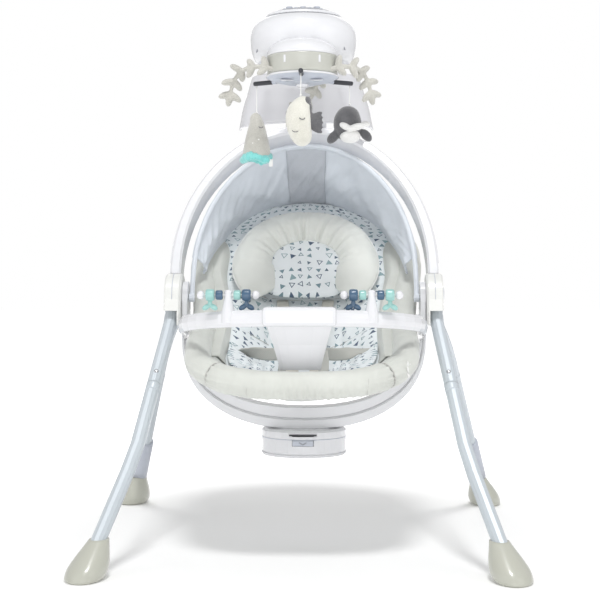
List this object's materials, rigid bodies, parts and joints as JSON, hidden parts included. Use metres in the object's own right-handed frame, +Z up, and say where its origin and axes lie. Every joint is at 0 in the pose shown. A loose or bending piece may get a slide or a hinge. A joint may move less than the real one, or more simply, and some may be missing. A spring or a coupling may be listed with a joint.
{
  "type": "baby swing",
  "caption": "Free-standing baby swing with a padded seat hung from side hubs on splayed legs, under an arch with a canopy, a head unit and a turning mobile.",
  "frame": {"origin": "on the floor at the centre of the bounding box's base", "axes": "+Z up, -Y towards the front of the swing (where the child faces), +X to the right seen from the front"},
  "size_m": [0.8534, 0.8662, 1.0175],
  "materials": {
    "white_plastic": "smooth glossy moulded plastic",
    "cream_plastic": "smooth satin moulded plastic",
    "grey_plastic": "fine matte texture",
    "dark_plastic": "matte",
    "leg_tube": "satin pale blue-grey paint",
    "shoe_plastic": "glossy beige-grey plastic",
    "steel": "plain steel",
    "satin_cloth": "padded satin",
    "print_cloth": "cotton printed with small triangles",
    "canopy_cloth": "light woven cloth",
    "strap_web": "woven webbing",
    "plush": "short-pile plush",
    "plush_grey": "short-pile plush",
    "bead_plastic": "glossy beads in several colours",
    "battery": "wrapped cells"
  },
  "bodies": {
    "frame": {"hub_housing_left": "cream_plastic", "hub_housing_right": "cream_plastic", "swing_drive_motor": "steel", "arch_post_left": "white_plastic", "arch_post_right": "white_plastic", "arch_crown": "white_plastic", "neck_arm": "white_plastic", "neck_bell": "white_plastic", "head_lower_shell": "white_plastic", "head_upper_shell": "white_plastic", "control_panel": "grey_plastic", "mobile_ring": "cream_plastic", "mobile_motor": "steel"},
    "front_leg_left": {"front_leg_upper_tube_left": "leg_tube", "front_leg_lower_tube_left": "leg_tube", "front_leg_shoe_left": "shoe_plastic"},
    "front_leg_right": {"front_leg_upper_tube_right": "leg_tube", "front_leg_lower_tube_right": "leg_tube", "front_leg_shoe_right": "shoe_plastic"},
    "rear_leg_left": {"rear_leg_upper_tube_left": "leg_tube", "rear_leg_lower_tube_left": "leg_tube", "rear_leg_shoe_left": "shoe_plastic"},
    "rear_leg_right": {"rear_leg_upper_tube_right": "leg_tube", "rear_leg_lower_tube_right": "leg_tube", "rear_leg_shoe_right": "shoe_plastic"},
    "leg_release_left": {"leg_release_button_left": "white_plastic"},
    "leg_release_right": {"leg_release_button_right": "white_plastic"},
    "power_button": {"power_button": "dark_plastic"},
    "swing_speed_button": {"swing_speed_button": "dark_plastic"},
    "music_button": {"music_button": "dark_plastic"},
    "swing_seat": {"yoke_shell": "white_plastic", "yoke_cover": "white_plastic", "pivot_shaft_left": "steel", "pivot_shaft_right": "steel", "drum_cup": "white_plastic", "battery_pack": "battery", "seat_frame_tube": "steel", "seat_sling": "satin_cloth", "rim_roll_front": "satin_cloth", "rim_roll_rear": "satin_cloth", "seat_pad": "print_cloth", "head_pillow": "satin_cloth", "harness_buckle": "white_plastic", "shoulder_strap_left": "strap_web", "shoulder_strap_right": "strap_web"},
    "drum_latch": {"drum_latch": "grey_plastic"},
    "buckle_button": {"buckle_button": "grey_plastic"},
    "canopy": {"canopy_bow": "white_plastic", "canopy_fabric": "canopy_cloth"},
    "tray": {"tray_bar": "white_plastic"},
    "bead_spinner_left": {"bead_spinner_left": "bead_plastic"},
    "bead_spinner_right": {"bead_spinner_right": "bead_plastic"},
    "mobile_rotor": {"mobile_rotor": "white_plastic"},
    "toy_left": {"toy_left": "plush", "toy_string_left": "strap_web"},
    "toy_front": {"toy_front": "plush", "toy_string_front": "strap_web"},
    "toy_right": {"toy_right": "plush_grey", "toy_string_right": "strap_web"}
  },
  "joints": [
    {"name": "front_leg_left_fold", "type": "hinge", "parent": "frame", "child": "front_leg_left", "pos_m": [-0.255, -0.03, 0.432], "axis": [1, 0, 0], "range_deg": [0, 28]},
    {"name": "front_leg_right_fold", "type": "hinge", "parent": "frame", "child": "front_leg_right", "pos_m": [0.255, -0.03, 0.432], "axis": [1, 0, 0], "range_deg": [0, 28]},
    {"name": "rear_leg_left_fold", "type": "hinge", "parent": "frame", "child": "rear_leg_left", "pos_m": [-0.255, 0.03, 0.432], "axis": [-1, 0, 0], "range_deg": [0, 28]},
    {"name": "rear_leg_right_fold", "type": "hinge", "parent": "frame", "child": "rear_leg_right", "pos_m": [0.255, 0.03, 0.432], "axis": [-1, 0, 0], "range_deg": [0, 28]},
    {"name": "leg_release_left_press", "type": "slide", "parent": "frame", "child": "leg_release_left", "axis": [1, 0, 0], "range_m": [0, 0.004], "stiffness_N_per_m": 300, "springref_m": -0.002},
    {"name": "leg_release_right_press", "type": "slide", "parent": "frame", "child": "leg_release_right", "axis": [-1, 0, 0], "range_m": [0, 0.004], "stiffness_N_per_m": 300, "springref_m": -0.002},
    {"name": "power_button_press", "type": "slide", "parent": "frame", "child": "power_button", "axis": [0, 0, -1], "range_m": [0, 0.0015], "stiffness_N_per_m": 300, "springref_m": -0.001},
    {"name": "swing_speed_button_press", "type": "slide", "parent": "frame", "child": "swing_speed_button", "axis": [0, 0, -1], "range_m": [0, 0.0015], "stiffness_N_per_m": 300, "springref_m": -0.001},
    {"name": "music_button_press", "type": "slide", "parent": "frame", "child": "music_button", "axis": [0, 0, -1], "range_m": [0, 0.0015], "stiffness_N_per_m": 300, "springref_m": -0.001},
    {"name": "seat_swing", "type": "hinge", "parent": "frame", "child": "swing_seat", "pos_m": [0, 0, 0.472], "axis": [1, 0, 0], "range_deg": [-14, 14]},
    {"name": "drum_latch_press", "type": "slide", "parent": "swing_seat", "child": "drum_latch", "axis": [0, 1, 0], "range_m": [0, 0.002], "stiffness_N_per_m": 400, "springref_m": -0.002},
    {"name": "buckle_button_press", "type": "slide", "parent": "swing_seat", "child": "buckle_button", "axis": [0, 0, -1], "range_m": [0, 0.002], "stiffness_N_per_m": 300, "springref_m": -0.001},
    {"name": "canopy_fold", "type": "hinge", "parent": "swing_seat", "child": "canopy", "pos_m": [0, 0, 0.464], "axis": [-1, 0, 0], "range_deg": [0, 24], "deforming": ["canopy_fabric"]},
    {"name": "tray_lift", "type": "hinge", "parent": "swing_seat", "child": "tray", "pos_m": [0, -0.042, 0.406], "axis": [-1, 0, 0], "range_deg": [0, 70]},
    {"name": "bead_spinner_left_spin", "type": "hinge", "parent": "tray", "child": "bead_spinner_left", "pos_m": [-0.125, -0.274, 0.472], "axis": [1, 0, 0], "continuous": true},
    {"name": "bead_spinner_right_spin", "type": "hinge", "parent": "tray", "child": "bead_spinner_right", "pos_m": [0.125, -0.274, 0.472], "axis": [1, 0, 0], "continuous": true},
    {"name": "mobile_spin", "type": "hinge", "parent": "frame", "child": "mobile_rotor", "pos_m": [0, -0.115, 0.872], "axis": [0, 0, 1], "continuous": true},
    {"name": "toy_left_sway", "type": "hinge", "parent": "mobile_rotor", "child": "toy_left", "pos_m": [-0.08833, -0.064, 0.8676], "axis": [-0.866, 0.5, 0], "range_deg": [-20, 20]},
    {"name": "toy_front_sway", "type": "hinge", "parent": "mobile_rotor", "child": "toy_front", "pos_m": [0, -0.217, 0.8676], "axis": [0, -1, 0], "range_deg": [-20, 20]},
    {"name": "toy_right_sway", "type": "hinge", "parent": "mobile_rotor", "child": "toy_right", "pos_m": [0.08833, -0.064, 0.8676], "axis": [0.866, 0.5, 0], "range_deg": [-20, 20]}
  ]
}
